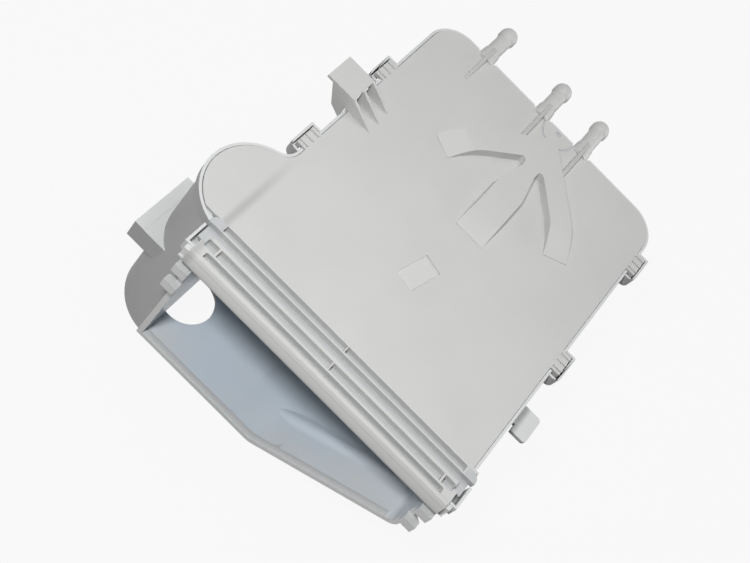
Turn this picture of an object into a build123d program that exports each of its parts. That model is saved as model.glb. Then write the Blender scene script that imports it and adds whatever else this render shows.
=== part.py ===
"""Detergent dispenser housing of a front-loading washing machine.

A moulded hopper with an open drawer bay, a round sump on its left and a drain,
closed by a moulded cover that carries three hose barbs and the water channels.
A perforated plate under the cover lets the water rain into the drawer.

X runs to the right as one faces the drawer mouth, Y to the back, Z up.
The origin lies on the front face, half way across, level with the seam between hopper and cover.
"""
import os

from build123d import *

# Hopper: the bay that takes the drawer
bay_half_width = 97.0
bay_depth = 291.0
wall = 2.5
floor_z = -108.5
ramp_start_x = 0.0
ramp_end_z = -55.0
rear_floor_z = -74.0
rear_floor_y = 190.0
front_floor_length = 105.0
bay_corner_radius = 6.0
mouth_y = 3.5
mouth_lip_width = 1.4
mouth_lip_depth = 4.0
ramp_rib_y = 33.0
ramp_rib_height = 1.6
ramp_rib_width = 2.4

# Cover plate, its outline and the rim of the hopper around it
ledge_width = 8.0
cover_back_margin = 5.0
cover_half_width = bay_half_width + ledge_width
cover_back_y = bay_depth + cover_back_margin
cover_thickness = 3.0
cover_corner_radius = 22.0
rim_gap = 0.5
rim_wall = 2.0
rim_height = 2.0
ledge_depth = 6.0

# Lobe of the cover and the sump below it, a round well that leans towards the front
lobe_inset = 3.5
lobe_x = lobe_inset - cover_half_width
lobe_y = 64.8
lobe_radius = 36.5
lobe_blend_radius = 14.0
lobe_step = 0.5
sump_offset = 1.0
sump_x = -bay_half_width - sump_offset
sump_y = 43.0
sump_radius = 37.0

# Drain in the floor, half under the bay's left wall, with a wider collar below for the hose
drain_inset = 3.0
drain_x = drain_inset - bay_half_width
drain_y = 47.0
drain_radius = 20.0
drain_step = 2.5
drain_wall = 2.5
drain_length = 6.0

# Grooved beam along the front of the cover, with a wider tail at the cover
beam_depth = 33.0
beam_overhang = 9.0
beam_half_width = bay_half_width + beam_overhang
beam_floor_top = -1.5
beam_floor_thickness = 2.0
beam_face_height = 11.0
beam_face_thickness = 2.6
beam_front_radius = 5.0
front_band_width = 3.8
slim_ridge_y = 10.4
slim_ridge_width = 1.7
main_ridge_y = 18.9
main_ridge_width = 2.6
seam_rib_y = 27.3
seam_rib_width = 1.3
seam_wall = 2.0
front_groove_inset = 7.8
middle_groove_inset = 3.0
groove_corner_radius = 1.6
pocket_front_y = 14.0
cross_rib_width = 1.4
cross_rib_inset = 12.3
seam_cross_inset = 4.0
tail_reach = 3.5
tail_front_y = 16.0
tail_corner_radius = 5.0
beam_clearance = 0.2

# Raised channel on the cover, an arrow with three arms that ramp down at their ends
channel_x = 8.3
channel_height = 6.3
channel_taper = 6.0
channel_skin = 2.0
channel_arm_width = 18.6
channel_tip_setback = 27.2
channel_elbow_x = 44.3
channel_elbow_drop = 46.1
channel_end_x = 54.0
channel_end_drop = 65.8
channel_bend_radius = 105.0
channel_notch_radius = 2.0
channel_stem_width = 24.2
channel_stem_drop = 105.3
channel_neck_width = 13.8
channel_neck_drop = 29.8
channel_shoulder_drop = 55.8
channel_ramp_length = 22.0
channel_ramp_lip = 0.5

# Gate mark of the mould between the barbs
gate_x = 7.0
gate_setback = 3.5
gate_ring_radius = 13.3
gate_ring_width = 1.8
gate_depth = 0.7
gate_dimple_radius = 2.2

# Hose barbs at the back of the cover
barb_xs = (-68.0, -11.2, 28.0)
barb_z = -2.0
barb_bore_radius = 3.5
barb_inner_radius = 4.8
barb_root_radius = 7.6
barb_collar_radius = 6.5
barb_tube_radius = 5.9
barb_bulb_radius = 7.1
barb_flare_length = 12.0
barb_tube_length = 18.0
barb_shoulder_length = 3.0
barb_bulb_land = 3.5
barb_nose_radius = 7.0
barb_nose_angle = 55.0
fin_length = 28.0
fin_width = 2.6
fin_height = 4.2
fin_root = 1.5
barb_clearance = 0.6

# Water chamber under the cover
chamber_inset = 7.0
chamber_half_width = bay_half_width - chamber_inset
chamber_front_y = 45.0
chamber_back_y = bay_depth - chamber_inset
chamber_depth = 7.0
chamber_wall = 2.0
plate_thickness = 2.0
slit_length = 6.0
slit_width = 2.0
shower_columns = 8
shower_rows = 5
shower_pitch_x = 20.0
shower_pitch_y = 36.0

# Snap clips between cover and hopper
clip_ys_left = (126.0, 217.0)
clip_ys_right = (143.0, 256.0)
clip_length = 26.0
clip_reach = 8.0
clip_wall = 1.8
clip_drop = 9.0
clip_corner_radius = 6.0
tab_length = 18.0
tab_leg = 2.6
tab_slot = 1.3
tab_rib_width = 1.4
tab_rib_height = 1.2
tab_rib_pitch = 6.0
tab_rib_count = 3
tab_side_clearance = 0.6

# Shelf bracket on the left of the sump
shelf_reach = 50.0
shelf_outer_x = -bay_half_width - shelf_reach
shelf_front_y = 24.0
shelf_back_y = 76.0
shelf_top_z = -52.0
shelf_height = 17.0
shelf_pad_width = 8.0
shelf_pad_height = 0.4

# Fixing tab on the right
side_tab_width = 29.0
side_tab_end_x = bay_half_width + side_tab_width
side_tab_y = 101.5
side_tab_length = 23.0
side_tab_z = -20.0
side_tab_thickness = 3.0
side_tab_notch = 6.0
side_tab_corner = 3.0

# Fixing bracket at the rear left of the cover
bracket_reach = 25.0
bracket_shelf_gap = 2.0
bracket_foot_inset = 20.0
bracket_outer_x = -cover_half_width - bracket_reach
bracket_inner_x = -cover_half_width - bracket_shelf_gap
bracket_foot_x = bracket_foot_inset - cover_half_width
bracket_front_y = 165.0
bracket_back_y = 190.0
bracket_top_z = 15.0
bracket_skin = 2.2
bracket_overhang = 4.0
bracket_web_shift = 9.0
bracket_web_drop = 18.0
bracket_web_foot_z = -8.0
gusset_count = 3
bracket_rim_clearance = 0.8

# Catches for the front panel beside the drawer mouth, and the guards at the cover's front corners
catch_front_y = -2.0
catch_depth = 10.0
catch_height = 8.0
catch_tops = (-13.0, -33.0)
catch_reach = 7.5
guard_reach = 5.5
guard_front_y = 7.5
guard_back_y = 25.0
guard_top_z = 0.5
guard_bottom_z = -9.0
guard_floor = 2.0
latch_front_y = 1.5

# Sizes that follow from the ones above
floor_bottom_z = floor_z - wall
bay_outer_half = bay_half_width + wall
rim_grow = rim_gap + rim_wall
rim_outer_x = cover_half_width + rim_grow
beam_underside = beam_floor_top - beam_floor_thickness
beam_face_bottom = cover_thickness - beam_face_height
tail_half_width = beam_half_width + tail_reach
guard_x = beam_half_width + guard_reach
loop_outer_x = rim_outer_x + clip_reach
leg_outer_x = loop_outer_x - clip_wall - tab_slot
catch_outer_x = bay_outer_half + catch_reach
barb_collar_y = cover_back_y + barb_flare_length
fin_start_y = cover_back_y - fin_length
gate_y = cover_back_y - gate_setback
channel_tip_y = cover_back_y - channel_tip_setback
channel_elbow_y = channel_tip_y - channel_elbow_drop
channel_end_y = channel_tip_y - channel_end_drop
channel_neck_y = channel_tip_y - channel_neck_drop
channel_shoulder_y = channel_tip_y - channel_shoulder_drop
channel_stem_y = channel_tip_y - channel_stem_drop
sump_plane = Plane(
    origin=(sump_x, sump_y, floor_bottom_z),
    z_dir=(lobe_x - sump_x, lobe_y - sump_y, -ledge_depth - floor_bottom_z),
)
above_all = bracket_top_z + wall
span = 2 * side_tab_end_x + bay_depth


def plan_outline(grow):
    """Outline of the cover seen from above, grown outwards by a margin."""
    with BuildSketch() as outline:
        with BuildLine():
            Polyline(
                (-cover_half_width - grow, beam_depth),
                (-cover_half_width - grow, cover_back_y + grow),
                (cover_half_width + grow, cover_back_y + grow),
                (cover_half_width + grow, beam_depth),
                close=True,
            )
        make_face()
        fillet(outline.vertices().group_by(Axis.Y)[-1], cover_corner_radius + grow)
        with Locations((lobe_x, lobe_y)):
            Circle(lobe_radius + grow)
        inner_corner = outline.vertices().filter_by_position(
            Axis.Y, lobe_y, lobe_y + lobe_radius + grow
        ).sort_by_distance((-cover_half_width - grow, lobe_y + lobe_radius))[0]
        fillet(inner_corner, lobe_blend_radius - grow)
    return outline.sketch


def bay_front(grow, start_y=0.0):
    """Section of the drawer bay seen from the front, grown outwards by a wall."""
    with BuildSketch(Plane.XZ.offset(-start_y)) as section:
        with BuildLine():
            Polyline(
                (-bay_half_width, above_all),
                (bay_half_width, above_all),
                (bay_half_width, ramp_end_z),
                (ramp_start_x, floor_z),
                (-bay_half_width, floor_z),
                close=True,
            )
        make_face()
        ramp_ends = section.vertices().sort_by(Axis.Y)[:3].sort_by(Axis.X)[1:]
        fillet(ramp_ends, bay_corner_radius)
        if grow:
            offset(amount=grow, kind=Kind.INTERSECTION)
    return section.sketch


def bay_side(grow):
    """Section of the drawer bay seen from the right, grown outwards by a wall."""
    with BuildSketch(Plane.YZ.offset(-span / 2)) as section:
        with BuildLine():
            Polyline(
                (-wall, above_all),
                (bay_depth, above_all),
                (bay_depth, rear_floor_z),
                (rear_floor_y, rear_floor_z),
                (front_floor_length, floor_z),
                (-wall, floor_z),
                close=True,
            )
        make_face()
        if grow:
            offset(amount=grow, kind=Kind.INTERSECTION)
    return section.sketch


cover_outline = plan_outline(0)
rim_hole_outline = plan_outline(rim_gap)
rim_outline = plan_outline(rim_grow)


def sump_section(inset):
    """Round section of the sump, square to its leaning axis, below the floor and inset by a wall."""
    with BuildSketch(sump_plane.offset(-sump_radius)) as section:
        Circle(sump_radius - inset)
    return section.sketch


def plan_box(x_from, x_to, y_from, y_to, z):
    """Rectangle between two corners, seen from above, at a height."""
    with BuildSketch(Plane.XY.offset(z)) as box:
        with Locations(((x_from + x_to) / 2, (y_from + y_to) / 2)):
            Rectangle(abs(x_to - x_from), abs(y_to - y_from))
    return box.sketch


def clip_loop(side, clip_y):
    """Open loop of a snap clip seen from above, rounded at its front end."""
    with BuildSketch(Plane.XY.offset(-clip_drop)) as loop:
        with Locations((side * (rim_outer_x + clip_reach / 2), clip_y)):
            Rectangle(clip_reach, clip_length)
        front_corners = loop.vertices().group_by(Axis.Y)[0].sort_by(Axis.X)
        fillet(front_corners[-1] if side > 0 else front_corners[0], clip_corner_radius)
        with Locations((side * (rim_outer_x + (clip_reach - clip_wall) / 2), clip_y)):
            Rectangle(clip_reach - clip_wall, clip_length - 2 * clip_wall, mode=Mode.SUBTRACT)
    return loop.sketch


def corner_guard(side):
    """Angled wall that guards a front corner of the cover, seen from above."""
    with BuildSketch(Plane.XY.offset(guard_bottom_z)) as guard:
        with BuildLine() as path:
            Polyline(
                (side * guard_x, guard_back_y),
                (side * guard_x, guard_front_y),
                (side * bay_half_width, guard_front_y),
            )
        trace(path.line, line_width=clip_wall)
    return guard.sketch


def front_catch(side, top_z):
    """Wedge that a front panel snaps behind, seen from above."""
    with BuildSketch(Plane.XY.offset(top_z - catch_height)) as wedge:
        with BuildLine():
            Polyline(
                (side * bay_half_width, catch_front_y),
                (side * catch_outer_x, catch_front_y),
                (side * catch_outer_x, catch_front_y + catch_depth / 2),
                (side * bay_outer_half, catch_front_y + catch_depth),
                (side * bay_half_width, catch_front_y + catch_depth),
                close=True,
            )
        make_face()
    return wedge.sketch


def barb_passage(barb_x):
    """Slot in the back of the hopper that a barb drops into, round at its foot."""
    with BuildSketch(Plane.XZ.offset(-chamber_back_y)) as slot:
        with Locations((barb_x, barb_z)):
            Circle(barb_root_radius + barb_clearance)
            Rectangle(2 * (barb_root_radius + barb_clearance), above_all,
                      align=(Align.CENTER, Align.MIN))
    return slot.sketch


def barb_profile(barb_x):
    """Half section of a hose barb: root, flare, collar, tube, bulb and round nose."""
    inner_y = chamber_back_y - chamber_wall
    shoulder_y = barb_collar_y + barb_tube_length
    bulb_y = shoulder_y + barb_shoulder_length
    nose_y = bulb_y + barb_bulb_land
    with BuildSketch(Plane.YZ.offset(barb_x)) as profile:
        with BuildLine():
            nose = JernArc(
                (nose_y, barb_z + barb_bulb_radius), (1, 0), barb_nose_radius, -barb_nose_angle
            )
            Polyline(
                nose @ 1,
                ((nose @ 1).X, barb_z),
                (inner_y, barb_z),
                (inner_y, barb_z + barb_inner_radius),
                (cover_back_y - cover_thickness, barb_z + barb_inner_radius),
                (cover_back_y - cover_thickness, barb_z + barb_root_radius),
                (cover_back_y, barb_z + barb_root_radius),
                (barb_collar_y, barb_z + barb_collar_radius),
                (barb_collar_y, barb_z + barb_tube_radius),
                (shoulder_y, barb_z + barb_tube_radius),
                (bulb_y, barb_z + barb_bulb_radius),
                (nose_y, barb_z + barb_bulb_radius),
            )
        make_face()
    return profile.sketch


def barb_fin(barb_x):
    """Fin that ties a barb to the cover, seen from the side."""
    with BuildSketch(Plane.YZ.offset(barb_x - fin_width / 2)) as fin:
        with BuildLine():
            Polyline(
                (fin_start_y, cover_thickness),
                (cover_back_y, cover_thickness + fin_height),
                (barb_collar_y, barb_z + barb_collar_radius),
                (barb_collar_y, barb_z + barb_bore_radius + fin_root),
                (cover_back_y, barb_z + barb_bore_radius + fin_root),
                (fin_start_y, cover_thickness - fin_root),
                close=True,
            )
        make_face()
    return fin.sketch


def channel_plan(inset, z):
    """Plan of the raised channel: two bent arms and a stem, inset by a margin."""
    with BuildSketch(Plane.XY.offset(z)) as plan:
        for side in (-1, 1):
            with BuildLine() as arm:
                FilletPolyline(
                    (channel_x, channel_tip_y),
                    (channel_x + side * channel_elbow_x, channel_elbow_y),
                    (channel_x + side * channel_end_x, channel_end_y),
                    radius=channel_bend_radius,
                )
            trace(arm.line, line_width=channel_arm_width - 2 * inset)
        with Locations((channel_x, channel_tip_y)):
            Circle(channel_arm_width / 2 - inset)
        stem = channel_stem_width / 2 - inset
        neck = channel_neck_width / 2 - inset
        with BuildLine():
            Polyline(
                (channel_x - stem, channel_stem_y + inset),
                (channel_x - stem, channel_shoulder_y),
                (channel_x - neck, channel_neck_y),
                (channel_x - neck, channel_tip_y - channel_arm_width / 2),
                (channel_x + neck, channel_tip_y - channel_arm_width / 2),
                (channel_x + neck, channel_neck_y),
                (channel_x + stem, channel_shoulder_y),
                (channel_x + stem, channel_stem_y + inset),
                close=True,
            )
        make_face()
        notches = plan.vertices().filter_by_position(
            Axis.Y, channel_neck_y, channel_tip_y, inclusive=(False, False)
        )
        fillet(notches.sort_by_distance((channel_x, channel_neck_y))[:2], channel_notch_radius)
    return plan.sketch


def channel_ends():
    """End point of each arm of the channel in plan, and the direction in which the arm runs out."""
    ends = [((channel_x, channel_stem_y), (0, -1))]
    for side in (-1, 1):
        end = (channel_x + side * channel_end_x, channel_end_y)
        run = (side * (channel_end_x - channel_elbow_x), channel_end_y - channel_elbow_y)
        ends.append((end, run))
    return ends


def channel_ramp(end, run, lower):
    """Wedge that is cut off above the sloping end of an arm, seen from the side."""
    side_plane = Plane(
        origin=(*end, cover_thickness - lower), x_dir=(*run, 0), z_dir=(run[1], -run[0], 0)
    )
    with BuildSketch(side_plane) as wedge:
        with BuildLine():
            Polyline(
                (-channel_ramp_length, channel_height),
                (0, channel_ramp_lip),
                (channel_ramp_length, channel_ramp_lip),
                (channel_ramp_length, 2 * channel_height),
                (-channel_ramp_length, 2 * channel_height),
                close=True,
            )
        make_face()
    return wedge.sketch


def beam_plan():
    """Plan of the front beam: a strip with a wider tail at the cover, rounded at its back corners."""
    with BuildSketch(Plane.XY.offset(beam_underside)) as plan:
        Rectangle(2 * beam_half_width, beam_depth, align=(Align.CENTER, Align.MIN))
        with Locations((0, tail_front_y)):
            Rectangle(2 * tail_half_width, beam_depth - tail_front_y, align=(Align.CENTER, Align.MIN))
        fillet(plan.vertices().group_by(Axis.Y)[-1], tail_corner_radius)
    return plan.sketch


def beam_groove(half_length, y_from, y_to):
    """Plan of a groove along the beam, rounded at its corners."""
    with BuildSketch(Plane.XY.offset(beam_floor_top)) as plan:
        with Locations((0, (y_from + y_to) / 2)):
            RectangleRounded(2 * half_length, y_to - y_from, groove_corner_radius)
    return plan.sketch


# Space inside the bay, open at the front and the top
with BuildPart() as bay_space:
    extrude(bay_front(0, -wall), amount=bay_depth + 2 * wall, dir=(0, 1, 0))
    extrude(bay_side(0), amount=span, dir=(1, 0, 0), mode=Mode.INTERSECT)

# Sump as a leaning round block between the floor and the ledge
with BuildPart() as sump_block:
    extrude(sump_section(0), amount=span)
    split(bisect_by=Plane.XY.offset(floor_bottom_z), keep=Keep.TOP)
    split(bisect_by=Plane.XY.offset(-ledge_depth), keep=Keep.BOTTOM)

# Space inside the sump, with an upright mouth through the ledge, cut flat along the bay's left wall
with BuildPart() as sump_space:
    extrude(sump_section(wall), amount=span)
    split(bisect_by=Plane.XY.offset(floor_z), keep=Keep.TOP)
    split(bisect_by=Plane.XY.offset(-ledge_depth), keep=Keep.BOTTOM)
    with BuildSketch(Plane.XY.offset(-ledge_depth)):
        with Locations((lobe_x, lobe_y)):
            Circle(lobe_radius - wall)
    extrude(amount=ledge_depth + above_all)
    split(bisect_by=Plane.YZ.offset(-bay_outer_half), keep=Keep.BOTTOM)

# Raised channel as a block, and the space below it
with BuildPart() as channel_block:
    extrude(channel_plan(0, cover_thickness), amount=channel_height, taper=channel_taper)
    for end, run in channel_ends():
        extrude(channel_ramp(end, run, 0), amount=channel_stem_width, both=True, mode=Mode.SUBTRACT)

with BuildPart() as channel_space:
    extrude(
        channel_plan(channel_skin, 0),
        amount=cover_thickness + channel_height - channel_skin,
        taper=channel_taper,
    )
    for end, run in channel_ends():
        extrude(
            channel_ramp(end, run, channel_skin),
            amount=channel_stem_width,
            both=True,
            mode=Mode.SUBTRACT,
        )

# Hopper body, from the bay outwards, then hollowed
with BuildPart() as hopper_body:
    extrude(bay_front(wall, mouth_y), amount=bay_depth + wall - mouth_y, dir=(0, 1, 0))
    extrude(bay_side(wall), amount=span, dir=(1, 0, 0), mode=Mode.INTERSECT)
    extrude(bay_front(wall + mouth_lip_width, mouth_y), amount=mouth_lip_depth, dir=(0, 1, 0))
    add(sump_block.part)
    extrude(
        plan_box(-span, span, -span, span, 0),
        amount=above_all + wall,
        dir=(0, 0, 1),
        mode=Mode.SUBTRACT,
    )
    # Ledge that carries the cover, and the raised rim round it
    with BuildSketch(Plane.XY.offset(-ledge_depth)):
        add(rim_outline)
    extrude(amount=ledge_depth)
    with BuildSketch():
        add(rim_outline)
        add(rim_hole_outline, mode=Mode.SUBTRACT)
    extrude(amount=rim_height)
    # Loops of the snap clips, and the gaps in the rim where the cover's tabs pass
    for side, clip_ys in ((-1, clip_ys_left), (1, clip_ys_right)):
        for clip_y in clip_ys:
            extrude(clip_loop(side, clip_y), amount=clip_drop + rim_height / 2, dir=(0, 0, 1))
            extrude(
                plan_box(
                    side * cover_half_width,
                    side * (loop_outer_x - clip_wall),
                    clip_y - tab_length / 2 - tab_side_clearance,
                    clip_y + tab_length / 2 + tab_side_clearance,
                    0,
                ),
                amount=above_all,
                dir=(0, 0, 1),
                mode=Mode.SUBTRACT,
            )
    # Floors and walls of the guards at the front corners, each with a latch post
    for side in (-1, 1):
        extrude(
            plan_box(
                side * bay_half_width,
                side * (guard_x + clip_wall / 2),
                guard_front_y - clip_wall / 2,
                guard_back_y,
                guard_bottom_z,
            ),
            amount=guard_floor,
            dir=(0, 0, 1),
        )
        extrude(corner_guard(side), amount=guard_top_z - guard_bottom_z, dir=(0, 0, 1))
        extrude(
            plan_box(
                side * bay_half_width,
                side * (guard_x - clip_wall),
                latch_front_y,
                guard_front_y,
                guard_bottom_z,
            ),
            amount=-guard_bottom_z,
            dir=(0, 0, 1),
        )
    # Seat of the cover's front beam and of its tail
    for seat_half, seat_front_y in ((beam_half_width, -wall), (tail_half_width, tail_front_y)):
        extrude(
            plan_box(
                -seat_half - beam_clearance,
                seat_half + beam_clearance,
                seat_front_y - beam_clearance,
                beam_depth + seam_wall + beam_clearance,
                beam_underside,
            ),
            amount=above_all + span,
            dir=(0, 0, 1),
            mode=Mode.SUBTRACT,
        )
    extrude(
        plan_box(-span, span, -wall, beam_face_thickness + beam_clearance, beam_face_bottom - beam_clearance),
        amount=above_all + span,
        dir=(0, 0, 1),
        mode=Mode.SUBTRACT,
    )
    # Catches for the front panel
    for catch_top in catch_tops:
        for side in (-1, 1):
            extrude(front_catch(side, catch_top), amount=catch_height, dir=(0, 0, 1))
    # Shelf bracket: a hood against the sump wall, open below
    extrude(
        plan_box(shelf_outer_x, sump_x, shelf_front_y, shelf_back_y, shelf_top_z - shelf_height),
        amount=shelf_height,
        dir=(0, 0, 1),
    )
    extrude(
        plan_box(
            shelf_outer_x + wall,
            lobe_x,
            shelf_front_y + wall,
            shelf_back_y - wall,
            shelf_top_z - shelf_height,
        ),
        amount=shelf_height - wall,
        dir=(0, 0, 1),
        mode=Mode.SUBTRACT,
    )
    add(sump_block.part)
    extrude(
        plan_box(
            shelf_outer_x,
            shelf_outer_x + shelf_pad_width,
            shelf_front_y,
            shelf_back_y,
            shelf_top_z,
        ),
        amount=shelf_pad_height,
        dir=(0, 0, 1),
    )
    # Fixing tab with its notch
    with BuildSketch(Plane.XY.offset(side_tab_z)):
        with Locations(((bay_half_width + side_tab_end_x) / 2, side_tab_y)):
            tab = Rectangle(side_tab_width, side_tab_length)
        fillet(tab.vertices().group_by(Axis.X)[-1], side_tab_corner)
        with Locations((rim_outer_x, side_tab_y - side_tab_length / 2)):
            Rectangle(side_tab_notch, side_tab_notch, align=Align.MIN, mode=Mode.SUBTRACT)
    extrude(amount=side_tab_thickness)
    # Outlet collar under the drain
    with BuildSketch(Plane.XY.offset(floor_bottom_z)):
        with Locations((drain_x, drain_y)):
            Circle(drain_radius + drain_step + drain_wall)
    extrude(amount=-drain_length)
    # Hollow the bay and the sump, open the drain and the passages of the barbs
    add(bay_space.part, mode=Mode.SUBTRACT)
    add(sump_space.part, mode=Mode.SUBTRACT)
    with BuildSketch(Plane.XY.offset(floor_z)):
        with Locations((drain_x, drain_y)):
            Circle(drain_radius)
    extrude(amount=-wall, mode=Mode.SUBTRACT)
    with BuildSketch(Plane.XY.offset(floor_bottom_z)):
        with Locations((drain_x, drain_y)):
            Circle(drain_radius + drain_step)
    extrude(amount=-drain_length, mode=Mode.SUBTRACT)
    for barb_x in barb_xs:
        extrude(
            barb_passage(barb_x),
            amount=cover_back_y + 2 * rim_grow - chamber_back_y,
            dir=(0, 1, 0),
            mode=Mode.SUBTRACT,
        )
    # Low rib across the ramp of the floor
    with BuildSketch(Plane.XZ.offset(-ramp_rib_y)):
        with BuildLine():
            Polyline(
                (ramp_start_x, floor_z - wall / 2),
                (bay_half_width, ramp_end_z - wall / 2),
                (bay_half_width, ramp_end_z + ramp_rib_height),
                (ramp_start_x, floor_z + ramp_rib_height),
                close=True,
            )
        make_face()
    extrude(amount=-ramp_rib_width)

# Cover with its beam, channel, barbs, bracket and clip tabs
with BuildPart() as top_cover:
    with BuildSketch():
        add(cover_outline)
    extrude(amount=cover_thickness)
    # The lobe lies a hair lower than the plate
    with BuildSketch(Plane.XY.offset(cover_thickness - lobe_step)):
        with Locations((-cover_half_width, lobe_y)):
            Rectangle(2 * lobe_radius, 4 * lobe_radius, align=(Align.MAX, Align.CENTER))
    extrude(amount=lobe_step, mode=Mode.SUBTRACT)
    extrude(
        plan_box(-tail_half_width, tail_half_width, 0, beam_depth, 0),
        amount=cover_thickness,
        dir=(0, 0, 1),
        mode=Mode.SUBTRACT,
    )
    # Front beam: a block with a face that is rounded at its top, then its grooves and their cross ribs
    extrude(beam_plan(), amount=cover_thickness - beam_underside, dir=(0, 0, 1))
    extrude(
        plan_box(-beam_half_width, beam_half_width, 0, beam_face_thickness, beam_face_bottom),
        amount=beam_face_height,
        dir=(0, 0, 1),
    )
    front_edge = top_cover.edges().filter_by(Axis.X).group_by(Axis.Y)[0].sort_by(Axis.Z)[-1]
    fillet(front_edge, beam_front_radius)
    extrude(
        plan_box(-tail_half_width, tail_half_width, beam_depth, beam_depth + seam_wall, beam_underside),
        amount=-beam_underside + cover_thickness,
        dir=(0, 0, 1),
    )
    for half_length, y_from, y_to in (
        (beam_half_width - front_groove_inset, front_band_width, slim_ridge_y - slim_ridge_width / 2),
        (
            beam_half_width - middle_groove_inset,
            slim_ridge_y + slim_ridge_width / 2,
            main_ridge_y - main_ridge_width / 2,
        ),
        (span / 2, main_ridge_y + main_ridge_width / 2, seam_rib_y - seam_rib_width / 2),
        (span / 2, seam_rib_y + seam_rib_width / 2, beam_depth),
    ):
        extrude(beam_groove(half_length, y_from, y_to), amount=above_all, dir=(0, 0, 1), mode=Mode.SUBTRACT)
    for side in (-1, 1):
        extrude(
            plan_box(
                side * (beam_half_width - middle_groove_inset),
                side * span / 2,
                pocket_front_y,
                seam_rib_y - seam_rib_width,
                beam_floor_top,
            ),
            amount=above_all,
            dir=(0, 0, 1),
            mode=Mode.SUBTRACT,
        )
        for rib_x, rib_front_y, rib_back_y in (
            (beam_half_width - cross_rib_inset, slim_ridge_y, main_ridge_y),
            (beam_half_width - seam_cross_inset, seam_rib_y, beam_depth),
        ):
            extrude(
                plan_box(
                    side * (rib_x - cross_rib_width / 2),
                    side * (rib_x + cross_rib_width / 2),
                    rib_front_y,
                    rib_back_y,
                    beam_floor_top,
                ),
                amount=cover_thickness - beam_floor_top,
                dir=(0, 0, 1),
            )
    # Walls of the water chamber below the plate
    with BuildSketch():
        with Locations((0, (chamber_front_y + chamber_back_y) / 2)):
            Rectangle(2 * chamber_half_width, chamber_back_y - chamber_front_y)
            Rectangle(
                2 * (chamber_half_width - chamber_wall),
                chamber_back_y - chamber_front_y - 2 * chamber_wall,
                mode=Mode.SUBTRACT,
            )
    extrude(amount=-chamber_depth)
    # Ring and dimple that the mould's gate leaves, then the raised channel, hollow below
    with BuildSketch(Plane.XY.offset(cover_thickness)):
        with Locations((gate_x, gate_y)):
            Circle(gate_ring_radius + gate_ring_width / 2)
            Circle(gate_ring_radius - gate_ring_width / 2, mode=Mode.SUBTRACT)
            Circle(gate_dimple_radius)
    extrude(amount=-gate_depth, mode=Mode.SUBTRACT)
    add(channel_block.part)
    add(channel_space.part, mode=Mode.SUBTRACT)
    # Hose barbs, their fins and bores
    for barb_x in barb_xs:
        revolve(barb_profile(barb_x), axis=Axis((barb_x, 0, barb_z), (0, 1, 0)))
        extrude(barb_fin(barb_x), amount=fin_width, dir=(1, 0, 0))
    for barb_x in barb_xs:
        with BuildSketch(Plane.XZ.offset(-(chamber_back_y - 2 * chamber_wall))):
            with Locations((barb_x, barb_z)):
                Circle(barb_bore_radius)
        extrude(amount=-span, mode=Mode.SUBTRACT)
    # Fixing bracket: a shelf over the left edge, carried by a hanging web and two more gussets
    extrude(
        plan_box(
            bracket_outer_x,
            bracket_inner_x,
            bracket_front_y,
            bracket_back_y,
            bracket_top_z - bracket_skin,
        ),
        amount=bracket_skin,
        dir=(0, 0, 1),
    )
    gusset_pitch = (bracket_back_y - bracket_front_y - bracket_skin) / (gusset_count - 1)
    web_outer_x = bracket_outer_x + bracket_overhang
    for gusset in range(gusset_count):
        with BuildSketch(Plane.XZ.offset(-(bracket_front_y + gusset * gusset_pitch))):
            with BuildLine():
                Polyline(
                    (bracket_inner_x, bracket_top_z),
                    (bracket_foot_x, cover_thickness),
                    (bracket_foot_x, cover_thickness / 2),
                    (-cover_half_width, cover_thickness / 2),
                    (-cover_half_width, rim_height + bracket_rim_clearance),
                    (bracket_inner_x, rim_height + bracket_rim_clearance),
                    close=True,
                )
            make_face()
        extrude(amount=-bracket_skin)
    with BuildSketch(Plane.XZ.offset(-bracket_front_y)):
        with BuildLine():
            Polyline(
                (web_outer_x, bracket_top_z),
                (bracket_inner_x, bracket_top_z),
                (bracket_inner_x, rim_height + bracket_rim_clearance),
                (-rim_outer_x - bracket_rim_clearance, rim_height + bracket_rim_clearance),
                (-rim_outer_x - bracket_rim_clearance, bracket_web_foot_z),
                (web_outer_x + bracket_web_shift, bracket_top_z - bracket_web_drop),
                close=True,
            )
        make_face()
    extrude(amount=-bracket_skin)
    # Clip tabs: a tongue over the rim, a leg inside the loop and grip ribs
    for side, clip_ys in ((-1, clip_ys_left), (1, clip_ys_right)):
        for clip_y in clip_ys:
            tab_from, tab_to = clip_y - tab_length / 2, clip_y + tab_length / 2
            extrude(
                plan_box(side * (cover_half_width - wall), side * leg_outer_x, tab_from, tab_to, 0),
                amount=cover_thickness,
                dir=(0, 0, 1),
            )
            extrude(
                plan_box(side * (leg_outer_x - tab_leg), side * leg_outer_x, tab_from, tab_to, -clip_drop),
                amount=clip_drop,
                dir=(0, 0, 1),
            )
            with BuildSketch(Plane.XY.offset(cover_thickness)):
                with Locations((side * (cover_half_width + leg_outer_x) / 2, clip_y)):
                    with GridLocations(0, tab_rib_pitch, 1, tab_rib_count):
                        Rectangle(leg_outer_x - cover_half_width, tab_rib_width)
            extrude(amount=tab_rib_height)

# Perforated plate that closes the water chamber from below
with BuildPart() as water_distribution_plate:
    with BuildSketch(Plane.XY.offset(-chamber_depth)):
        with Locations((0, (chamber_front_y + chamber_back_y) / 2)):
            Rectangle(2 * chamber_half_width, chamber_back_y - chamber_front_y)
            with GridLocations(shower_pitch_x, shower_pitch_y, shower_columns, shower_rows):
                Rectangle(slit_length, slit_width, mode=Mode.SUBTRACT)
    extrude(amount=-plate_thickness)

hopper_body.part.label = "hopper_body"
top_cover.part.label = "top_cover"
water_distribution_plate.part.label = "water_distribution_plate"

os.makedirs("parts", exist_ok=True)
export_step(hopper_body.part, "parts/hopper_body.step")
export_step(top_cover.part, "parts/top_cover.step")
export_step(water_distribution_plate.part, "parts/water_distribution_plate.step")
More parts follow.
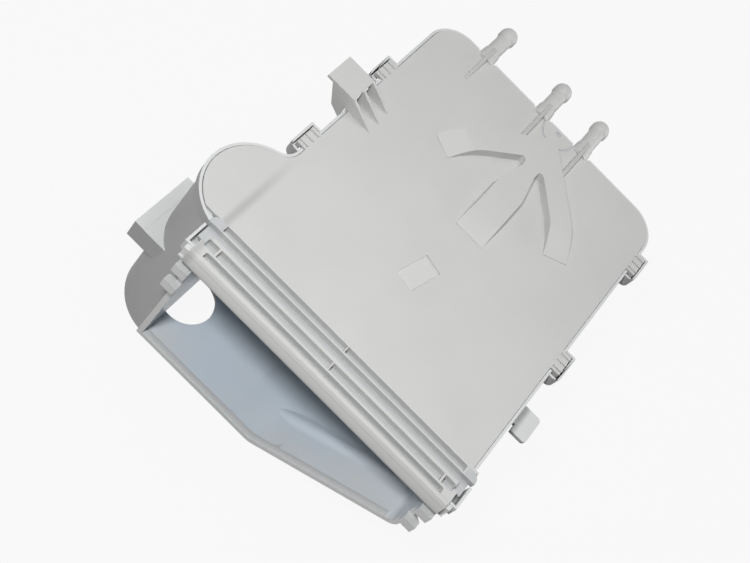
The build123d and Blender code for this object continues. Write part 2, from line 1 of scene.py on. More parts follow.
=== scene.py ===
# %% [markdown]
# # Detergent dispenser housing
# This is the plastic housing behind the drawer of a washing machine. Water enters through three
# hose barbs at the back, runs through channels in the cover and washes the powder down to the
# drain. The solids come from the CAD frame, so this lesson gives them moulded edges, small trims,
# finishes and light.

import bmesh
import bpy
import numpy as np
from mathutils import Matrix, Vector


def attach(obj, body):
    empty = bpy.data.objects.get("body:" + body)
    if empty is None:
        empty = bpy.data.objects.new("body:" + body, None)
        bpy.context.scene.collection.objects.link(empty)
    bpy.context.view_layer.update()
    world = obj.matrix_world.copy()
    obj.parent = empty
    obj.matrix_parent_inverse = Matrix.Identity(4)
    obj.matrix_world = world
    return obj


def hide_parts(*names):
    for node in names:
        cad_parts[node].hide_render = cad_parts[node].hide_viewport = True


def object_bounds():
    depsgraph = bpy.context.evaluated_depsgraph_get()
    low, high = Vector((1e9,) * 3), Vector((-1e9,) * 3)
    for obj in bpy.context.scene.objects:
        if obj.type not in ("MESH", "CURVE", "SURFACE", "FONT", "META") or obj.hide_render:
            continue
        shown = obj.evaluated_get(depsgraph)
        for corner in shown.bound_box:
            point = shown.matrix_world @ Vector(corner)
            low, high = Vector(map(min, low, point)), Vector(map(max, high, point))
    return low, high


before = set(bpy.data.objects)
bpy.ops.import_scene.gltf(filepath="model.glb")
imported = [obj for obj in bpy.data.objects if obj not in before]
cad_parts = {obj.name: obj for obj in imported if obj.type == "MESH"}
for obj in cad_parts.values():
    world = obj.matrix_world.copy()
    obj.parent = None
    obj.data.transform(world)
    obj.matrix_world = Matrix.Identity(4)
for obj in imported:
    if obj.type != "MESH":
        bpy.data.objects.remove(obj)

MM = 0.001
cad_low, cad_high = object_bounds()
print("CAD box in mm:", [round(v / MM, 1) for v in (cad_high - cad_low)])

# %% [markdown]
# ## Camera
# The photograph looks down on the cover from above the drawer mouth, and the picture is rolled by
# about an eighth of a turn. A camera could be aimed with a Track To constraint, but that can't
# roll it. Here its three axes are written down instead: right, up and backwards, as the columns
# of its matrix.

# %% The photograph's camera
camera_place = Vector((-42.9, -423.1, 657.9)) * MM
camera_right = Vector((0.70555, 0.54661, 0.45101))
camera_up = Vector((-0.70787, 0.57348, 0.41234))
camera_back = camera_right.cross(camera_up).normalized()

camera_lens = bpy.data.cameras.new("photo_camera")
camera_lens.sensor_width = 36.0
camera_lens.lens = 64.19
camera_lens.clip_start = 0.02
camera = bpy.data.objects.new("photo_camera", camera_lens)
camera.matrix_world = Matrix.Translation(camera_place) @ Matrix(
    (camera_right, camera_up, camera_back)
).transposed().to_4x4()
bpy.context.scene.collection.objects.link(camera)
bpy.context.scene.camera = camera
print("camera looks along", [round(-v, 3) for v in camera_back])

# %% [markdown]
# ## Moulded edges
# A mould leaves a small radius on every edge, and those radii catch the light. CAD could fillet
# them all, but hundreds of tiny fillets make a heavy model. A Bevel modifier on a merged copy
# does it just for looks. Flat regions are dissolved into single faces first, so that the bevel
# follows only real edges.


# %% Copies with rounded edges
merge_distance = 0.002 * MM
flat_angle = np.radians(0.6)
sharp_angle = np.radians(30)
edge_steps = 2
face_weight = 80


def moulded_copy(node_name, piece_name, edge_radius):
    """Copy of a CAD node whose edges sharper than 30 degrees get a two-step round of a given radius."""
    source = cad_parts[node_name]
    shape = bmesh.new()
    shape.from_mesh(source.data)
    bmesh.ops.remove_doubles(shape, verts=shape.verts, dist=merge_distance)
    bmesh.ops.dissolve_limit(shape, angle_limit=flat_angle, verts=shape.verts, edges=shape.edges)
    mesh = bpy.data.meshes.new(piece_name)
    shape.to_mesh(mesh)
    shape.free()
    mesh.polygons.foreach_set("use_smooth", np.ones(len(mesh.polygons), bool))
    mesh.set_sharp_from_angle(angle=sharp_angle)
    piece = bpy.data.objects.new(piece_name, mesh)
    bpy.context.scene.collection.objects.link(piece)
    bevel = piece.modifiers.new("edge_radius", "BEVEL")
    bevel.width = edge_radius
    bevel.segments = edge_steps
    bevel.limit_method = "ANGLE"
    bevel.angle_limit = sharp_angle
    even_shading = piece.modifiers.new("even_shading", "WEIGHTED_NORMAL")
    even_shading.mode = "FACE_AREA"
    even_shading.weight = face_weight
    even_shading.keep_sharp = True
    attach(piece, "root")
    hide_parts(node_name)
    print(piece_name, "has", len(mesh.polygons), "faces before its bevel")
    return piece


hopper = moulded_copy("hopper_body", "hopper_moulding", 0.4 * MM)
cover = moulded_copy("top_cover", "cover_moulding", 0.35 * MM)
plate = moulded_copy("water_distribution_plate", "shower_plate", 0.2 * MM)

# %% [markdown]
# ## Moulded plastic
# The housing is off-white polypropylene. Its colour drifts a little where the melt flowed and
# cooled, its sheen is uneven, and the mould's spark-eroded skin leaves a fine grain. One node
# group makes all three from noise on Object coordinates, so the grain has a real size in metres,
# and each part sets its values.


# %% Node group for a moulded skin
def new_group(name, inputs, outputs):
    """Empty shader node group with named sockets, each given as (name, kind, default)."""
    group = bpy.data.node_groups.new(name, "ShaderNodeTree")
    for label, kind, default in inputs:
        socket = group.interface.new_socket(label, in_out="INPUT", socket_type="NodeSocket" + kind)
        socket.default_value = default
    for label, kind in outputs:
        group.interface.new_socket(label, in_out="OUTPUT", socket_type="NodeSocket" + kind)
    entry = group.nodes.new("NodeGroupInput")
    leave = group.nodes.new("NodeGroupOutput")
    return group, entry.outputs, leave.inputs


def node(tree, kind, links=(), **values):
    """New node of a kind, with its settings and its (socket, source) links made."""
    made = tree.nodes.new("ShaderNode" + kind)
    for key, value in values.items():
        setattr(made, key, value)
    for socket, source in links:
        if hasattr(source, "is_output"):
            tree.links.new(source, made.inputs[socket])
        else:
            made.inputs[socket].default_value = source
    return made


skin_group, skin_in, skin_out = new_group(
    "moulded_skin",
    [
        ("Place", "Vector", (0.0, 0.0, 0.0)),
        ("Colour", "Color", (0.6, 0.6, 0.6, 1.0)),
        ("Drift Colour", "Color", (0.55, 0.55, 0.55, 1.0)),
        ("Roughness", "Float", 0.45),
        ("Grain Size", "Float", 0.0004),
    ],
    [("Colour", "Color"), ("Roughness", "Float"), ("Height", "Float")],
)
drift = node(skin_group, "TexNoise", [("Vector", skin_in["Place"]), ("Scale", 14.0), ("Detail", 4.0)])
drift_mask = node(
    skin_group, "MapRange", [("Value", drift.outputs["Fac"]), ("From Min", 0.35), ("From Max", 0.7)]
)
tone = node(
    skin_group,
    "Mix",
    [(0, drift_mask.outputs["Result"]), (6, skin_in["Colour"]), (7, skin_in["Drift Colour"])],
    data_type="RGBA",
)
sheen = node(skin_group, "TexNoise", [("Vector", skin_in["Place"]), ("Scale", 60.0), ("Detail", 3.0)])
sheen_range = node(
    skin_group, "MapRange", [("Value", sheen.outputs["Fac"]), ("To Min", -0.06), ("To Max", 0.06)]
)
rough = node(
    skin_group, "Math", [(0, skin_in["Roughness"]), (1, sheen_range.outputs["Result"])], operation="ADD"
)
grain_scale = node(skin_group, "Math", [(0, 1.0), (1, skin_in["Grain Size"])], operation="DIVIDE")
grain = node(
    skin_group,
    "TexNoise",
    [("Vector", skin_in["Place"]), ("Scale", grain_scale.outputs[0]), ("Detail", 2.0)],
)
skin_group.links.new(tone.outputs[2], skin_out["Colour"])
skin_group.links.new(rough.outputs[0], skin_out["Roughness"])
skin_group.links.new(grain.outputs["Fac"], skin_out["Height"])
print("skin group sockets:", [s.name for s in skin_group.interface.items_tree])


# %% [markdown]
# Each part of the housing comes from its own mould, so each gets its own values of the same skin.
# The hopper's colour is a touch paler than the cover's; that paleness is painted light, making
# up for the light its lower faces miss. The inside of its bay gets a paler, bluer copy with a
# smoother sheen, and that colour is painted light too, lifting the bay out of its shade.


# %% Plastics of the parts
plastic_ior = 1.49


def moulded_plastic(name, colour, drift_colour, roughness, grain_depth):
    """Principled plastic whose colour, roughness and bump come from the moulded skin group."""
    material = bpy.data.materials.new(name)
    material.use_nodes = True
    tree = material.node_tree
    shader = tree.nodes["Principled BSDF"]
    shader.inputs["IOR"].default_value = plastic_ior
    place = tree.nodes.new("ShaderNodeTexCoord")
    skin = tree.nodes.new("ShaderNodeGroup")
    skin.name = "skin"
    skin.node_tree = skin_group
    skin.inputs["Colour"].default_value = (*colour, 1.0)
    skin.inputs["Drift Colour"].default_value = (*drift_colour, 1.0)
    skin.inputs["Roughness"].default_value = roughness
    bump = node(tree, "Bump", [("Height", skin.outputs["Height"]), ("Distance", grain_depth)])
    tree.links.new(place.outputs["Object"], skin.inputs["Place"])
    tree.links.new(skin.outputs["Colour"], shader.inputs["Base Color"])
    tree.links.new(skin.outputs["Roughness"], shader.inputs["Roughness"])
    tree.links.new(bump.outputs["Normal"], shader.inputs["Normal"])
    print("material", name)
    return material


def finish_piece(piece, material):
    """Gives a piece one material."""
    piece.data.materials.clear()
    piece.data.materials.append(material)


cover_plastic = moulded_plastic(
    "cover_plastic", (0.62, 0.62, 0.61), (0.585, 0.59, 0.58), roughness=0.42, grain_depth=0.00002
)
# Painted light: the hopper's colour is paler than the cover's to make up for the light its lower faces
# miss.
hopper_plastic = moulded_plastic(
    "hopper_plastic", (0.69, 0.70, 0.70), (0.66, 0.67, 0.675), roughness=0.44, grain_depth=0.00002
)
plate_plastic = moulded_plastic(
    "plate_plastic", (0.58, 0.59, 0.60), (0.55, 0.56, 0.57), roughness=0.46, grain_depth=0.00002
)
# Painted light: the bay's paler, bluer colour lifts its inside out of the shade.
painted_light_bay_plastic = moulded_plastic(
    "painted_light_bay_plastic", (0.715, 0.80, 0.885), (0.685, 0.775, 0.865), roughness=0.34, grain_depth=0.000008
)
finish_piece(cover, cover_plastic)
finish_piece(hopper, hopper_plastic)
finish_piece(plate, plate_plastic)

# %% [markdown]
# ## Painted light inside the bay
# The bay's painted light goes only on the faces that look into the bay. They could be picked by
# hand, but a rule is surer: step one millimetre off each face along its normal, and see whether
# that point lies in the space where the drawer slides.


# %% Faces that look into the bay
def face_values(mesh):
    """Centres and normals of a mesh's faces, as two arrays with three numbers for each face."""
    values = []
    for kind in ("center", "normal"):
        flat = np.empty(len(mesh.polygons) * 3)
        mesh.polygons.foreach_get(kind, flat)
        values.append(flat.reshape(-1, 3))
    return values


def bay_faces(mesh, step):
    """True for each face whose centre, moved along its normal by a step, lies in the drawer's space.

    The space is a box with a floor that rises along two slopes: one to the right, one to the back.
    """
    centres, normals = face_values(mesh)
    x, y, z = (centres + step * normals).T / MM
    floor_right = np.interp(x, (0.0, bay_half), (bay_floor, bay_right_floor))
    floor_back = np.interp(y, (bay_slope_start, bay_slope_end), (bay_floor, bay_back_floor))
    in_plan = (np.abs(x) < bay_half) & (y > bay_front) & (y < bay_back)
    return in_plan & (z > np.maximum(floor_right, floor_back)) & (z < bay_top)


bay_half, bay_front, bay_back, bay_top = 97.0, 4.0, 291.0, 0.0
bay_floor, bay_right_floor, bay_back_floor = -108.5, -55.0, -74.0
bay_slope_start, bay_slope_end = 105.0, 190.0

painted_light_bay = bay_faces(hopper.data, step=1.0 * MM)
hopper.data.materials.append(painted_light_bay_plastic)
hopper.data.polygons.foreach_set("material_index", painted_light_bay.astype(np.int32))
print("faces that look into the bay:", int(painted_light_bay.sum()), "of", len(painted_light_bay))

# %% [markdown]
# The upright walls outside get a greyer, slightly rougher copy of the plastic. The grey is painted
# shade, for walls that face sideways and catch less light than the tops. They are the faces that
# look sideways, behind the mouth, so a mask on their normals and places picks them.

# %% Painted shade on the upright walls
wall_front = 12.0 * MM
upright_limit = 0.3
# Painted shade: a greyer colour for the upright walls.
painted_shade_wall_plastic = moulded_plastic(
    "painted_shade_wall_plastic", (0.455, 0.46, 0.455), (0.435, 0.44, 0.435), roughness=0.5, grain_depth=0.00003
)
hopper_centres, hopper_normals = face_values(hopper.data)
upright = np.abs(hopper_normals[:, 2]) < upright_limit
painted_shade_walls = ~painted_light_bay & upright & (hopper_centres[:, 1] > wall_front)
hopper.data.materials.append(painted_shade_wall_plastic)
hopper.data.polygons.foreach_set("material_index", (painted_light_bay + 2 * painted_shade_walls).astype(np.int32))
print("upright walls:", int(painted_shade_walls.sum()), "faces")

# %% [markdown]
# The rim of the mouth and the catches beside it get a paler copy of the plastic, which is painted
# light for faces that look forwards into the light. They are the faces at the front that look
# forwards.

# %% Painted light on the rim of the mouth
rim_back = 6.0 * MM
forward_limit = -0.7
# Painted light: a paler colour for the forward faces of the rim.
painted_light_rim_plastic = moulded_plastic(
    "painted_light_rim_plastic", (0.84, 0.845, 0.835), (0.81, 0.815, 0.805), roughness=0.44, grain_depth=0.00002
)
facing_front = hopper_normals[:, 1] < forward_limit
painted_light_rim = ~painted_light_bay & facing_front & (hopper_centres[:, 1] < rim_back)
hopper.data.materials.append(painted_light_rim_plastic)
hopper.data.polygons.foreach_set(
    "material_index", (painted_light_bay + 2 * painted_shade_walls + 3 * painted_light_rim).astype(np.int32)
)
print("rim of the mouth:", int(painted_light_rim.sum()), "faces")

# %% [markdown]
# The painted light of the bay, pale and bluish, fades into a neutral pale grey towards the drawer
# mouth. A second material would leave a hard border, so a mix along the Y axis of the Object
# coordinates blends the two colours over the first few centimetres.


# %% Tint that fades towards the mouth
def fade_along_y(material, near_colour, start, end):
    """Mixes a colour at the start of a stretch of Y into a material's own colour at its end."""
    tree = material.node_tree
    skin = tree.nodes["skin"]
    place = tree.nodes.new("ShaderNodeTexCoord")
    axes = node(tree, "SeparateXYZ", [("Vector", place.outputs["Object"])])
    share = node(
        tree, "MapRange", [("Value", axes.outputs["Y"]), ("From Min", start), ("From Max", end)],
        interpolation_type="SMOOTHSTEP",
    )
    own_colour = tuple(skin.inputs["Colour"].default_value)
    mix = node(
        tree, "Mix", [(0, share.outputs["Result"]), (6, (*near_colour, 1.0)), (7, own_colour)],
        data_type="RGBA",
    )
    tree.links.new(mix.outputs[2], skin.inputs["Colour"])
    print(material.name, "fades from Y", round(start / MM), "to", round(end / MM), "mm")


fade_along_y(painted_light_bay_plastic, near_colour=(0.76, 0.765, 0.76), start=6.0 * MM, end=50.0 * MM)

# %% [markdown]
# ## Painted shade along the lobe's sink line
# A soft dark band follows the line where the round lobe joins the cover. It is most likely the
# shade in a sink mark, where thicker plastic above a wall shrank as it cooled. The solid has a
# step of half a millimetre there, and a mix towards black on the Object coordinates paints the
# rest of that shade as a band with soft edges.


# %% Painted shade in a soft band along a line of X
def painted_shade_along_x(material, middle, half_width, y_full, y_none, strength):
    """Paints shade into a material's colour near one X, by a share that falls off with distance and
    along Y.
    """
    tree = material.node_tree
    skin = tree.nodes["skin"]
    shader = tree.nodes["Principled BSDF"]
    place = tree.nodes.new("ShaderNodeTexCoord")
    axes = node(tree, "SeparateXYZ", [("Vector", place.outputs["Object"])])
    away = node(tree, "Math", [(0, axes.outputs["X"]), (1, middle)], operation="SUBTRACT")
    distance = node(tree, "Math", [(0, away.outputs[0])], operation="ABSOLUTE")
    near = node(
        tree, "MapRange",
        [
            ("Value", distance.outputs[0]),
            ("From Max", half_width),
            ("To Min", strength),
            ("To Max", 0.0),
        ],
        interpolation_type="SMOOTHSTEP",
    )
    along = node(
        tree, "MapRange",
        [
            ("Value", axes.outputs["Y"]),
            ("From Min", y_full),
            ("From Max", y_none),
            ("To Min", 1.0),
            ("To Max", 0.0),
        ],
        interpolation_type="SMOOTHSTEP",
    )
    share = node(tree, "Math", [(0, near.outputs[0]), (1, along.outputs[0])], operation="MULTIPLY")
    shaded = node(
        tree, "Mix",
        [(0, share.outputs[0]), (6, skin.outputs["Colour"]), (7, (0.0, 0.0, 0.0, 1.0))],
        data_type="RGBA",
    )
    tree.links.new(shaded.outputs[2], shader.inputs["Base Color"])
    print(material.name, "is darker near X", round(middle / MM), "mm")


# Painted shade along the lobe's sink line.
painted_shade_along_x(
    cover_plastic, middle=-104.0 * MM, half_width=5.0 * MM, y_full=50.0 * MM, y_none=120.0 * MM,
    strength=0.24,
)

# %% [markdown]
# ## Grooves of the beam
# The floors of the front beam's grooves get a greyer, rougher copy of the plastic; the grey is
# painted shade for recesses that little light reaches. They are the upward faces at the depth of
# the floor. The floor of the round gate mark between the hose barbs gets the same painted shade,
# so the same mask takes it in.

# %% Painted shade on the floors of the grooves
groove_floor_z = -1.5 * MM
groove_back_y = 33.5 * MM
gate_floor_z = 2.3 * MM
gate_front_y = 270.0 * MM
cover_centres, cover_normals = face_values(cover.data)
depth_slack = 0.1 * MM
upward_limit = 0.9
in_groove = (np.abs(cover_centres[:, 2] - groove_floor_z) < depth_slack) & (
    cover_centres[:, 1] < groove_back_y
)
in_gate = (np.abs(cover_centres[:, 2] - gate_floor_z) < depth_slack) & (
    cover_centres[:, 1] > gate_front_y
)
# Painted shade: the floors of the grooves and the gate mark get a greyer colour.
painted_shade_groove_floors = (in_groove | in_gate) & (cover_normals[:, 2] > upward_limit)
painted_shade_groove_plastic = moulded_plastic(
    "painted_shade_groove_plastic", (0.53, 0.545, 0.555), (0.505, 0.52, 0.53), roughness=0.5, grain_depth=0.00003
)
cover.data.materials.append(painted_shade_groove_plastic)
cover.data.polygons.foreach_set("material_index", painted_shade_groove_floors.astype(np.int32))
print("groove floors:", int(painted_shade_groove_floors.sum()), "faces")

# %% [markdown]
# ## Swept trim
# Several small forms are swept: a profile is carried along a path, and every pair of neighbouring
# sections is joined by a band of quads. A curve with a bevel profile could do it too, but the
# grid keeps the profile's points exact, and its ends get clean caps.


# %% Sweep of a profile along a path
def ring_mesh(name, points, caps):
    """Mesh of a stack of closed rings, with a cap on the first ring and, for two caps, on the last."""
    rings, turns = points.shape[:2]
    index = np.arange(rings * turns).reshape(rings, turns)
    near, far = index[:-1], index[1:]
    quads = np.stack(
        (near, far, np.roll(far, -1, axis=1), np.roll(near, -1, axis=1)), axis=-1
    ).reshape(-1, 4)
    ends = [index[0].tolist(), index[-1, ::-1].tolist()][:caps]
    mesh = bpy.data.meshes.new(name)
    mesh.from_pydata(points.reshape(-1, 3).tolist(), [], quads.tolist() + ends)
    return mesh


def swept(path, sideways, upwards, profile):
    """Rings of a profile along a path: each path point plus the profile's numbers times two axes."""
    across = profile[None, :, :1] * sideways[:, None, :]
    above = profile[None, :, 1:] * upwards[:, None, :]
    return path[:, None, :] + across + above


def trim_piece(name, meshes, material):
    """One piece from several closed meshes, faces turned outwards, riding on the housing."""
    shape = bmesh.new()
    for mesh in meshes:
        shape.from_mesh(mesh)
    bmesh.ops.recalc_face_normals(shape, faces=shape.faces)
    joined = bpy.data.meshes.new(name)
    shape.to_mesh(joined)
    shape.free()
    joined.polygons.foreach_set("use_smooth", np.ones(len(joined.polygons), bool))
    joined.set_sharp_from_angle(angle=sharp_angle)
    piece = bpy.data.objects.new(name, joined)
    bpy.context.scene.collection.objects.link(piece)
    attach(piece, "root")
    finish_piece(piece, material)
    print(name, "has", len(joined.polygons), "faces")


# %% [markdown]
# The mouth of the bay is a little thicker than the rest. On the floor and the ramp this shows as
# a flat band along the edge, with a small step at its back. A profile of the band is carried
# across both.

# %% Band along the mouth
band_x = np.array((-96.8, 0.0, 92.5)) * MM
band_floor = np.interp(band_x, (0.0, bay_half * MM), (bay_floor * MM, bay_right_floor * MM))
band_path = np.stack((band_x, np.zeros(3), band_floor), axis=1)
ramp_slope = (bay_right_floor - bay_floor) / bay_half
band_up = np.array(((0.0, 0.0, 1.0), (-ramp_slope / 2, 0.0, 1.0), (-ramp_slope, 0.0, 1.0)))
band_profile = np.array((
    (3.7, -0.3), (3.7, 0.35), (4.0, 0.5), (8.2, 0.5), (8.6, 0.3), (8.7, -0.3)
)) * MM
band_points = swept(band_path, np.tile((0.0, 1.0, 0.0), (3, 1)), band_up, band_profile)
trim_piece(
    "mouth_band", [ring_mesh("mouth_band_sweep", band_points, 2)], hopper_plastic
)

# %% [markdown]
# Where the floor of the bay folds up into the ramp, the moulding is rounded so generously that no
# line shows. A large Bevel could round it, but it would run into the slope at the back. Here an
# arc that touches the floor and the ramp is swept along the fold, and it swells from nothing just
# behind the mouth.

# %% Round of the fold
# Across the fold the arc's points lie at the radius times the sine of an angle, and rise by the
# radius times one minus its cosine. The share of that rise goes from none to all by a smooth step
# along Y, and the underside is sunk into the floor.
fold_radius, fold_front, fold_full, fold_back = 80.0, 8.7, 45.0, 113.0
fold_sink = 0.4
ramp_angle = np.arctan(ramp_slope)
fold_reach = fold_radius * np.tan(ramp_angle / 2)
fold_arc = np.linspace(0.0, ramp_angle, num=25)
fold_x = fold_radius * np.sin(fold_arc) - fold_reach
fold_low = np.maximum(fold_x, 0.0) * ramp_slope
fold_rise = fold_radius * (1.0 - np.cos(fold_arc)) - fold_low
fold_y = np.linspace(fold_front, fold_back, num=40)
fold_share = np.clip((fold_y - fold_front) / (fold_full - fold_front), 0.0, 1.0)
fold_share = fold_share**2 * (3.0 - 2.0 * fold_share)
fold_top = bay_floor + fold_low + fold_share[:, None] * fold_rise
fold_under = np.tile(bay_floor + fold_low[::-1] - fold_sink, (len(fold_y), 1))
fold_points = np.stack(
    (
        np.tile(np.append(fold_x, fold_x[::-1]), (len(fold_y), 1)),
        np.tile(fold_y[:, None], (1, 2 * len(fold_x))),
        np.hstack((fold_top, fold_under)),
    ),
    axis=-1,
) * MM
trim_piece(
    "floor_fold", [ring_mesh("floor_fold_sweep", fold_points, 2)], painted_light_bay_plastic
)

# %% [markdown]
# A rib crosses the ramp, probably to stop the drawer from sliding out. In the photograph it is a
# soft swell and not a square bar, so a raised cosine is carried along the ramp and covers the
# bar.

# %% Swell over the rib of the ramp
# The rise is half the height times one plus the cosine of an angle that runs from minus to plus
# half a turn across the swell.
swell_y, swell_half_width, swell_height, swell_sink = 34.2, 7.0, 1.75, 0.4
swell_across = np.linspace(-1.0, 1.0, num=25)
swell_rise = swell_height * (1.0 + np.cos(np.pi * swell_across)) / 2
swell_profile = np.concatenate((
    np.stack((swell_y + swell_half_width * swell_across, swell_rise), axis=1),
    ((swell_y + swell_half_width, -swell_sink), (swell_y - swell_half_width, -swell_sink)),
)) * MM
swell_x = np.array((0.5, 92.0))
swell_path = np.stack((swell_x, np.zeros(2), bay_floor + ramp_slope * swell_x), axis=1) * MM
swell_points = swept(
    swell_path, np.tile((0.0, 1.0, 0.0), (2, 1)), np.tile((0.0, 0.0, 1.0), (2, 1)), swell_profile
)
trim_piece(
    "ramp_swell", [ring_mesh("ramp_swell_sweep", swell_points, 2)], painted_light_bay_plastic
)

# %% [markdown]
# The front of the beam is about as bright as the top, which suggests that it leans back. Its
# profile is a slope with a small round at the foot, carried along the whole beam.

# %% Leaning front of the beam
front_half = 105.6
front_profile = np.array((
    (5.6, 2.5), (5.1, 3.0), (2.5, 3.0), (2.1, 2.75), (-1.7, -3.6), (-1.9, -4.3), (-1.85, -5.3),
    (-1.5, -6.0), (0.5, -7.9), (1.5, -5.0),
)) * MM
front_path = np.array(((-front_half, 0.0, 0.0), (front_half, 0.0, 0.0))) * MM
front_points = swept(
    front_path, np.tile((0.0, 1.0, 0.0), (2, 1)), np.tile((0.0, 0.0, 1.0), (2, 1)), front_profile
)
trim_piece(
    "beam_front", [ring_mesh("beam_front_sweep", front_points, 2)], cover_plastic
)

# %% [markdown]
# At both ends the last groove closes with a corner that is rounded towards the cover. It is a
# stack of three outlines, each with a quarter circle and straight sides, and the top one is drawn
# in for its edge.

# %% Rounded corners of the beam
corner_in, corner_out, corner_front, corner_end, corner_radius = 102.2, 111.5, 26.6, 33.2, 5.0
corner_arc = np.linspace(0.0, np.pi / 2, num=13)
corner_outline = np.concatenate((
    ((corner_in, corner_front), (corner_out, corner_front)),
    np.stack(
        (
            corner_out - corner_radius + corner_radius * np.cos(corner_arc),
            corner_end - corner_radius + corner_radius * np.sin(corner_arc),
        ),
        axis=1,
    ),
    ((corner_in, corner_end),),
))
corner_middle = corner_outline.mean(axis=0)
corner_levels = ((-1.6, 1.0), (2.75, 1.0), (3.03, 0.94))
corner_meshes = []
for side in (-1.0, 1.0):
    corner_rings = np.stack([
        np.column_stack((
            corner_middle + drawn_in * (corner_outline - corner_middle),
            np.full(len(corner_outline), level),
        ))
        for level, drawn_in in corner_levels
    ])
    corner_rings[..., 0] *= side
    corner_meshes.append(ring_mesh("beam_corner", corner_rings * MM, 2))
# The corners take the grooves' painted shade.
trim_piece("beam_corners", corner_meshes, painted_shade_groove_plastic)

# %% [markdown]
# Half way along the beam, low ribs cross two of its grooves and stiffen their walls. Each is a
# narrow wall with a rounded top, carried from one ridge to the next.

# %% Ribs half way along the beam
rib_half_width, rib_top, rib_foot = 0.6 * MM, 2.8 * MM, -1.7 * MM
rib_arc = np.linspace(0.0, np.pi, num=9)
rib_profile = np.concatenate((
    ((rib_half_width, rib_foot),),
    np.stack(
        (
            rib_half_width * np.cos(rib_arc),
            rib_top - rib_half_width + rib_half_width * np.sin(rib_arc),
        ),
        axis=1,
    ),
    ((-rib_half_width, rib_foot),),
))
rib_x = 0.2
rib_meshes = []
for rib_name, rib_front, rib_back in (("middle", 11.0, 17.8), ("seam", 27.7, 33.1)):
    rib_path = np.array(((rib_x, rib_front, 0.0), (rib_x, rib_back, 0.0))) * MM
    rib_points = swept(
        rib_path, np.tile((1.0, 0.0, 0.0), (2, 1)), np.tile((0.0, 0.0, 1.0), (2, 1)), rib_profile
    )
    rib_meshes.append(ring_mesh(rib_name + "_rib", rib_points, 2))
trim_piece("groove_ribs", rib_meshes, cover_plastic)

# %% [markdown]
# A rib holds each hose barb upright against the pull of its hose. It starts on the cover, runs up
# the root of the barb and ends at the collar. Two of them start inside the arrow, the lone one
# starts as a wedge. It is a bar whose top follows a few heights along its length, and its foot
# stays inside the plastic.

# %% Ribs of the hose barbs
barb_rib_half, barb_rib_edge = 1.5, 0.25
barb_rib_back_y = (296.0, 307.6)
barb_rib_back_top = (7.4, 4.75)
barb_rib_feet = np.array((1.8, 2.9, 3.2))
barb_rib_fronts = {-68.0: (266.0, 3.3), -11.2: (256.0, 6.0), 28.0: (256.0, 6.0)}
# Painted shade: the ribs get a darker copy of the cover's plastic, which keeps the narrow ribs dark.
painted_shade_rib_plastic = moulded_plastic(
    "painted_shade_rib_plastic", (0.54, 0.545, 0.53), (0.515, 0.52, 0.505), roughness=0.5, grain_depth=0.00003
)
barb_rib_profile = np.array((
    (-barb_rib_half, 0.0),
    (-barb_rib_half, 0.9),
    (-barb_rib_half + barb_rib_edge, 1.0),
    (barb_rib_half - barb_rib_edge, 1.0),
    (barb_rib_half, 0.9),
    (barb_rib_half, 0.0),
))
barb_rib_meshes = []
for barb_x, (front_y, front_top) in barb_rib_fronts.items():
    rib_path = np.stack((np.full(3, barb_x), (front_y, *barb_rib_back_y), barb_rib_feet), axis=1)
    rib_tops = np.array((front_top, *barb_rib_back_top))
    rib_up = np.stack((np.zeros(3), np.zeros(3), rib_tops - barb_rib_feet), axis=1)
    rib_points = swept(rib_path, np.tile((1.0, 0.0, 0.0), (3, 1)), rib_up, barb_rib_profile) * MM
    barb_rib_meshes.append(ring_mesh("barb_rib", rib_points, 2))
trim_piece("barb_ribs", barb_rib_meshes, painted_shade_rib_plastic)

# %% [markdown]
# ## Blank label
# A small bare paper label sits on the cover, turned a little. A plane would show no edge, so it
# is a thin pillow: rings shrink from a rounded rectangle to its middle, and the outer ring falls
# to the plastic. The corners of the sheet lift a little, as paper does on polypropylene.


# %% The label's surface
def label_surface(width, length, corner, thickness, lift, rings, turns):
    """Points of a thin rounded rectangle, by ring and by turn.

    The outline is the rectangle's corner circle pushed out to each corner's centre. Ring k scales it by
    k over the number of rings, and the height falls from the thickness to zero at the last ring and
    rises by the lift with the fourth power of the distance to the middle.
    """
    turn = (np.arange(turns) + 0.5) * 2 * np.pi / turns
    outline_x = np.sign(np.cos(turn)) * (width / 2 - corner) + corner * np.cos(turn)
    outline_y = np.sign(np.sin(turn)) * (length / 2 - corner) + corner * np.sin(turn)
    share = np.append(np.arange(1, rings) / (rings - 1), 1.0)[:, None]
    x, y = share * outline_x, share * outline_y
    reach = np.hypot(x, y) / np.hypot(width / 2, length / 2)
    z = thickness + lift * reach**4
    z[-1] = 0.0
    return np.stack((x, y, z), axis=-1)


label_middle = Vector((1.0, 111.5, 3.0)) * MM
label_turn = Matrix.Rotation(np.radians(-14.0), 4, "Z")
label_points = label_surface(
    width=15.6 * MM, length=27.6 * MM, corner=1.2 * MM, thickness=0.1 * MM, lift=0.04 * MM,
    rings=8, turns=64,
)
label_mesh = ring_mesh("blank_label", label_points, 1)
label_mesh.transform(Matrix.Translation(label_middle) @ label_turn)
label_mesh.polygons.foreach_set("use_smooth", np.ones(len(label_mesh.polygons), bool))
label = bpy.data.objects.new("blank_label", label_mesh)
bpy.context.scene.collection.objects.link(label)
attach(label, "root")
label_paper = moulded_plastic(
    "label_paper", (0.665, 0.665, 0.66), (0.64, 0.64, 0.635), roughness=0.55, grain_depth=0.00001
)
finish_piece(label, label_paper)
label_facing = face_values(label_mesh)[1][:, 2]
print("label has", len(label_facing), "faces, least upward normal", round(label_facing.min(), 2))

# %% [markdown]
# ## Studio
# A plain floor and three lamps stand in for a light tent: one above the lens, which puts a shadow
# under the beam, a large one overhead and one low behind the right side. The floor could be lit
# until it is white, but that would bleach the part too, so it adds its own white for the camera
# and keeps its shadow.

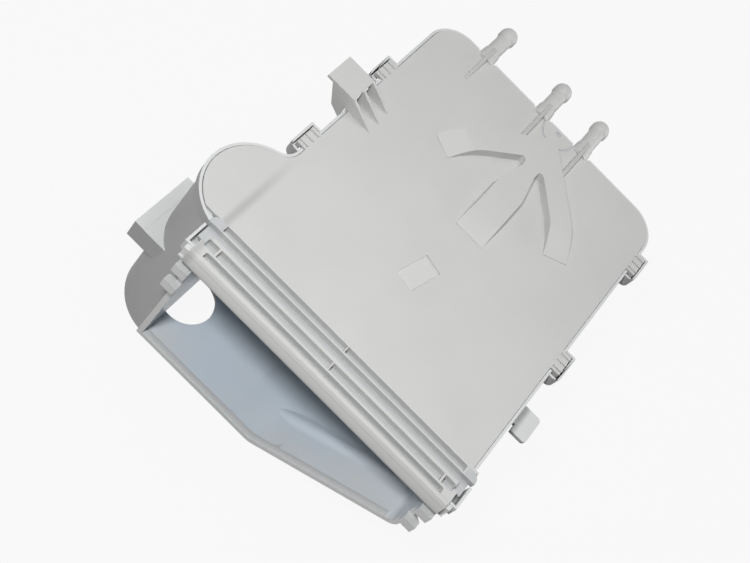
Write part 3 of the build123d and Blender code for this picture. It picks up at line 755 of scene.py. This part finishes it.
# %% Floor, lamps and world
floor_mesh = bpy.data.meshes.new("studio_floor")
floor_half = 6.0
floor_grey, floor_roughness = 0.32, 0.9
white_share = 0.92
tent_light, tent_white = 0.1, 1.0
floor_z = cad_low.z
floor_mesh.from_pydata(
    [(-floor_half, -floor_half, floor_z), (floor_half, -floor_half, floor_z),
     (floor_half, floor_half, floor_z), (-floor_half, floor_half, floor_z)],
    [],
    [(0, 1, 2, 3)],
)
floor = bpy.data.objects.new("studio_floor", floor_mesh)
bpy.context.scene.collection.objects.link(floor)


def seen_directly(tree):
    """Factor that is one for rays that show the background: camera, glossy and transmission rays."""
    path = tree.nodes.new("ShaderNodeLightPath")
    first = node(
        tree, "Math", [(0, path.outputs["Is Camera Ray"]), (1, path.outputs["Is Glossy Ray"])],
        operation="MAXIMUM",
    )
    return node(
        tree, "Math", [(0, first.outputs[0]), (1, path.outputs["Is Transmission Ray"])],
        operation="MAXIMUM",
    ).outputs[0]


floor_material = bpy.data.materials.new("studio_floor")
floor_material.use_nodes = True
floor_tree = floor_material.node_tree
floor_shader = floor_tree.nodes["Principled BSDF"]
floor_shader.inputs["Base Color"].default_value = (floor_grey, floor_grey, floor_grey, 1.0)
floor_shader.inputs["Roughness"].default_value = floor_roughness
white = node(floor_tree, "Emission", [("Color", (1.0, 1.0, 1.0, 1.0)), ("Strength", 1.0)])
share = node(
    floor_tree, "Math", [(0, seen_directly(floor_tree)), (1, white_share)], operation="MULTIPLY"
)
blend = node(
    floor_tree,
    "MixShader",
    [(0, share.outputs[0]), (1, floor_shader.outputs[0]), (2, white.outputs[0])],
)
floor_tree.links.new(blend.outputs[0], floor_tree.nodes["Material Output"].inputs["Surface"])
floor_mesh.materials.append(floor_material)

world = bpy.data.worlds.new("light_tent")
bpy.context.scene.world = world
world.use_nodes = True
world_tree = world.node_tree
tent = world_tree.nodes["Background"]
tent.inputs["Color"].default_value = (1.0, 1.0, 1.0, 1.0)
tent_level = node(
    world_tree,
    "MapRange",
    [("Value", seen_directly(world_tree)), ("To Min", tent_light), ("To Max", tent_white)],
)
world_tree.links.new(tent_level.outputs["Result"], tent.inputs["Strength"])


def soft_lamp(name, place, aim, size, power):
    """Square area lamp at a place, aimed at a point, in metres and watts."""
    data = bpy.data.lights.new(name, "AREA")
    data.size = size
    data.energy = power
    lamp = bpy.data.objects.new(name, data)
    lamp.location = place
    lamp.rotation_euler = (Vector(aim) - Vector(place)).to_track_quat("-Z", "Y").to_euler()
    bpy.context.scene.collection.objects.link(lamp)
    print("lamp", name, power, "W")


cover_middle = Vector((0.0, 100.0, 3.0)) * MM
flash_place = camera_place + 0.16 * camera_up - 0.06 * camera_right
soft_lamp("key_lamp", flash_place, cover_middle, size=0.12, power=4.5)
wall_middle = Vector((0.0, 150.0, -50.0)) * MM
side_place = wall_middle + Vector((0.85, 0.75, 0.06))
soft_lamp("side_lamp", side_place, wall_middle, size=0.7, power=4.5)
cover_back = cover_middle + Vector((0.0, 0.15, 0.0))
top_place = cover_back + Vector((0.0, 0.25, 1.15))
soft_lamp("top_lamp", top_place, cover_back, size=1.0, power=6.0)

bpy.context.scene.view_settings.view_transform = "Standard"
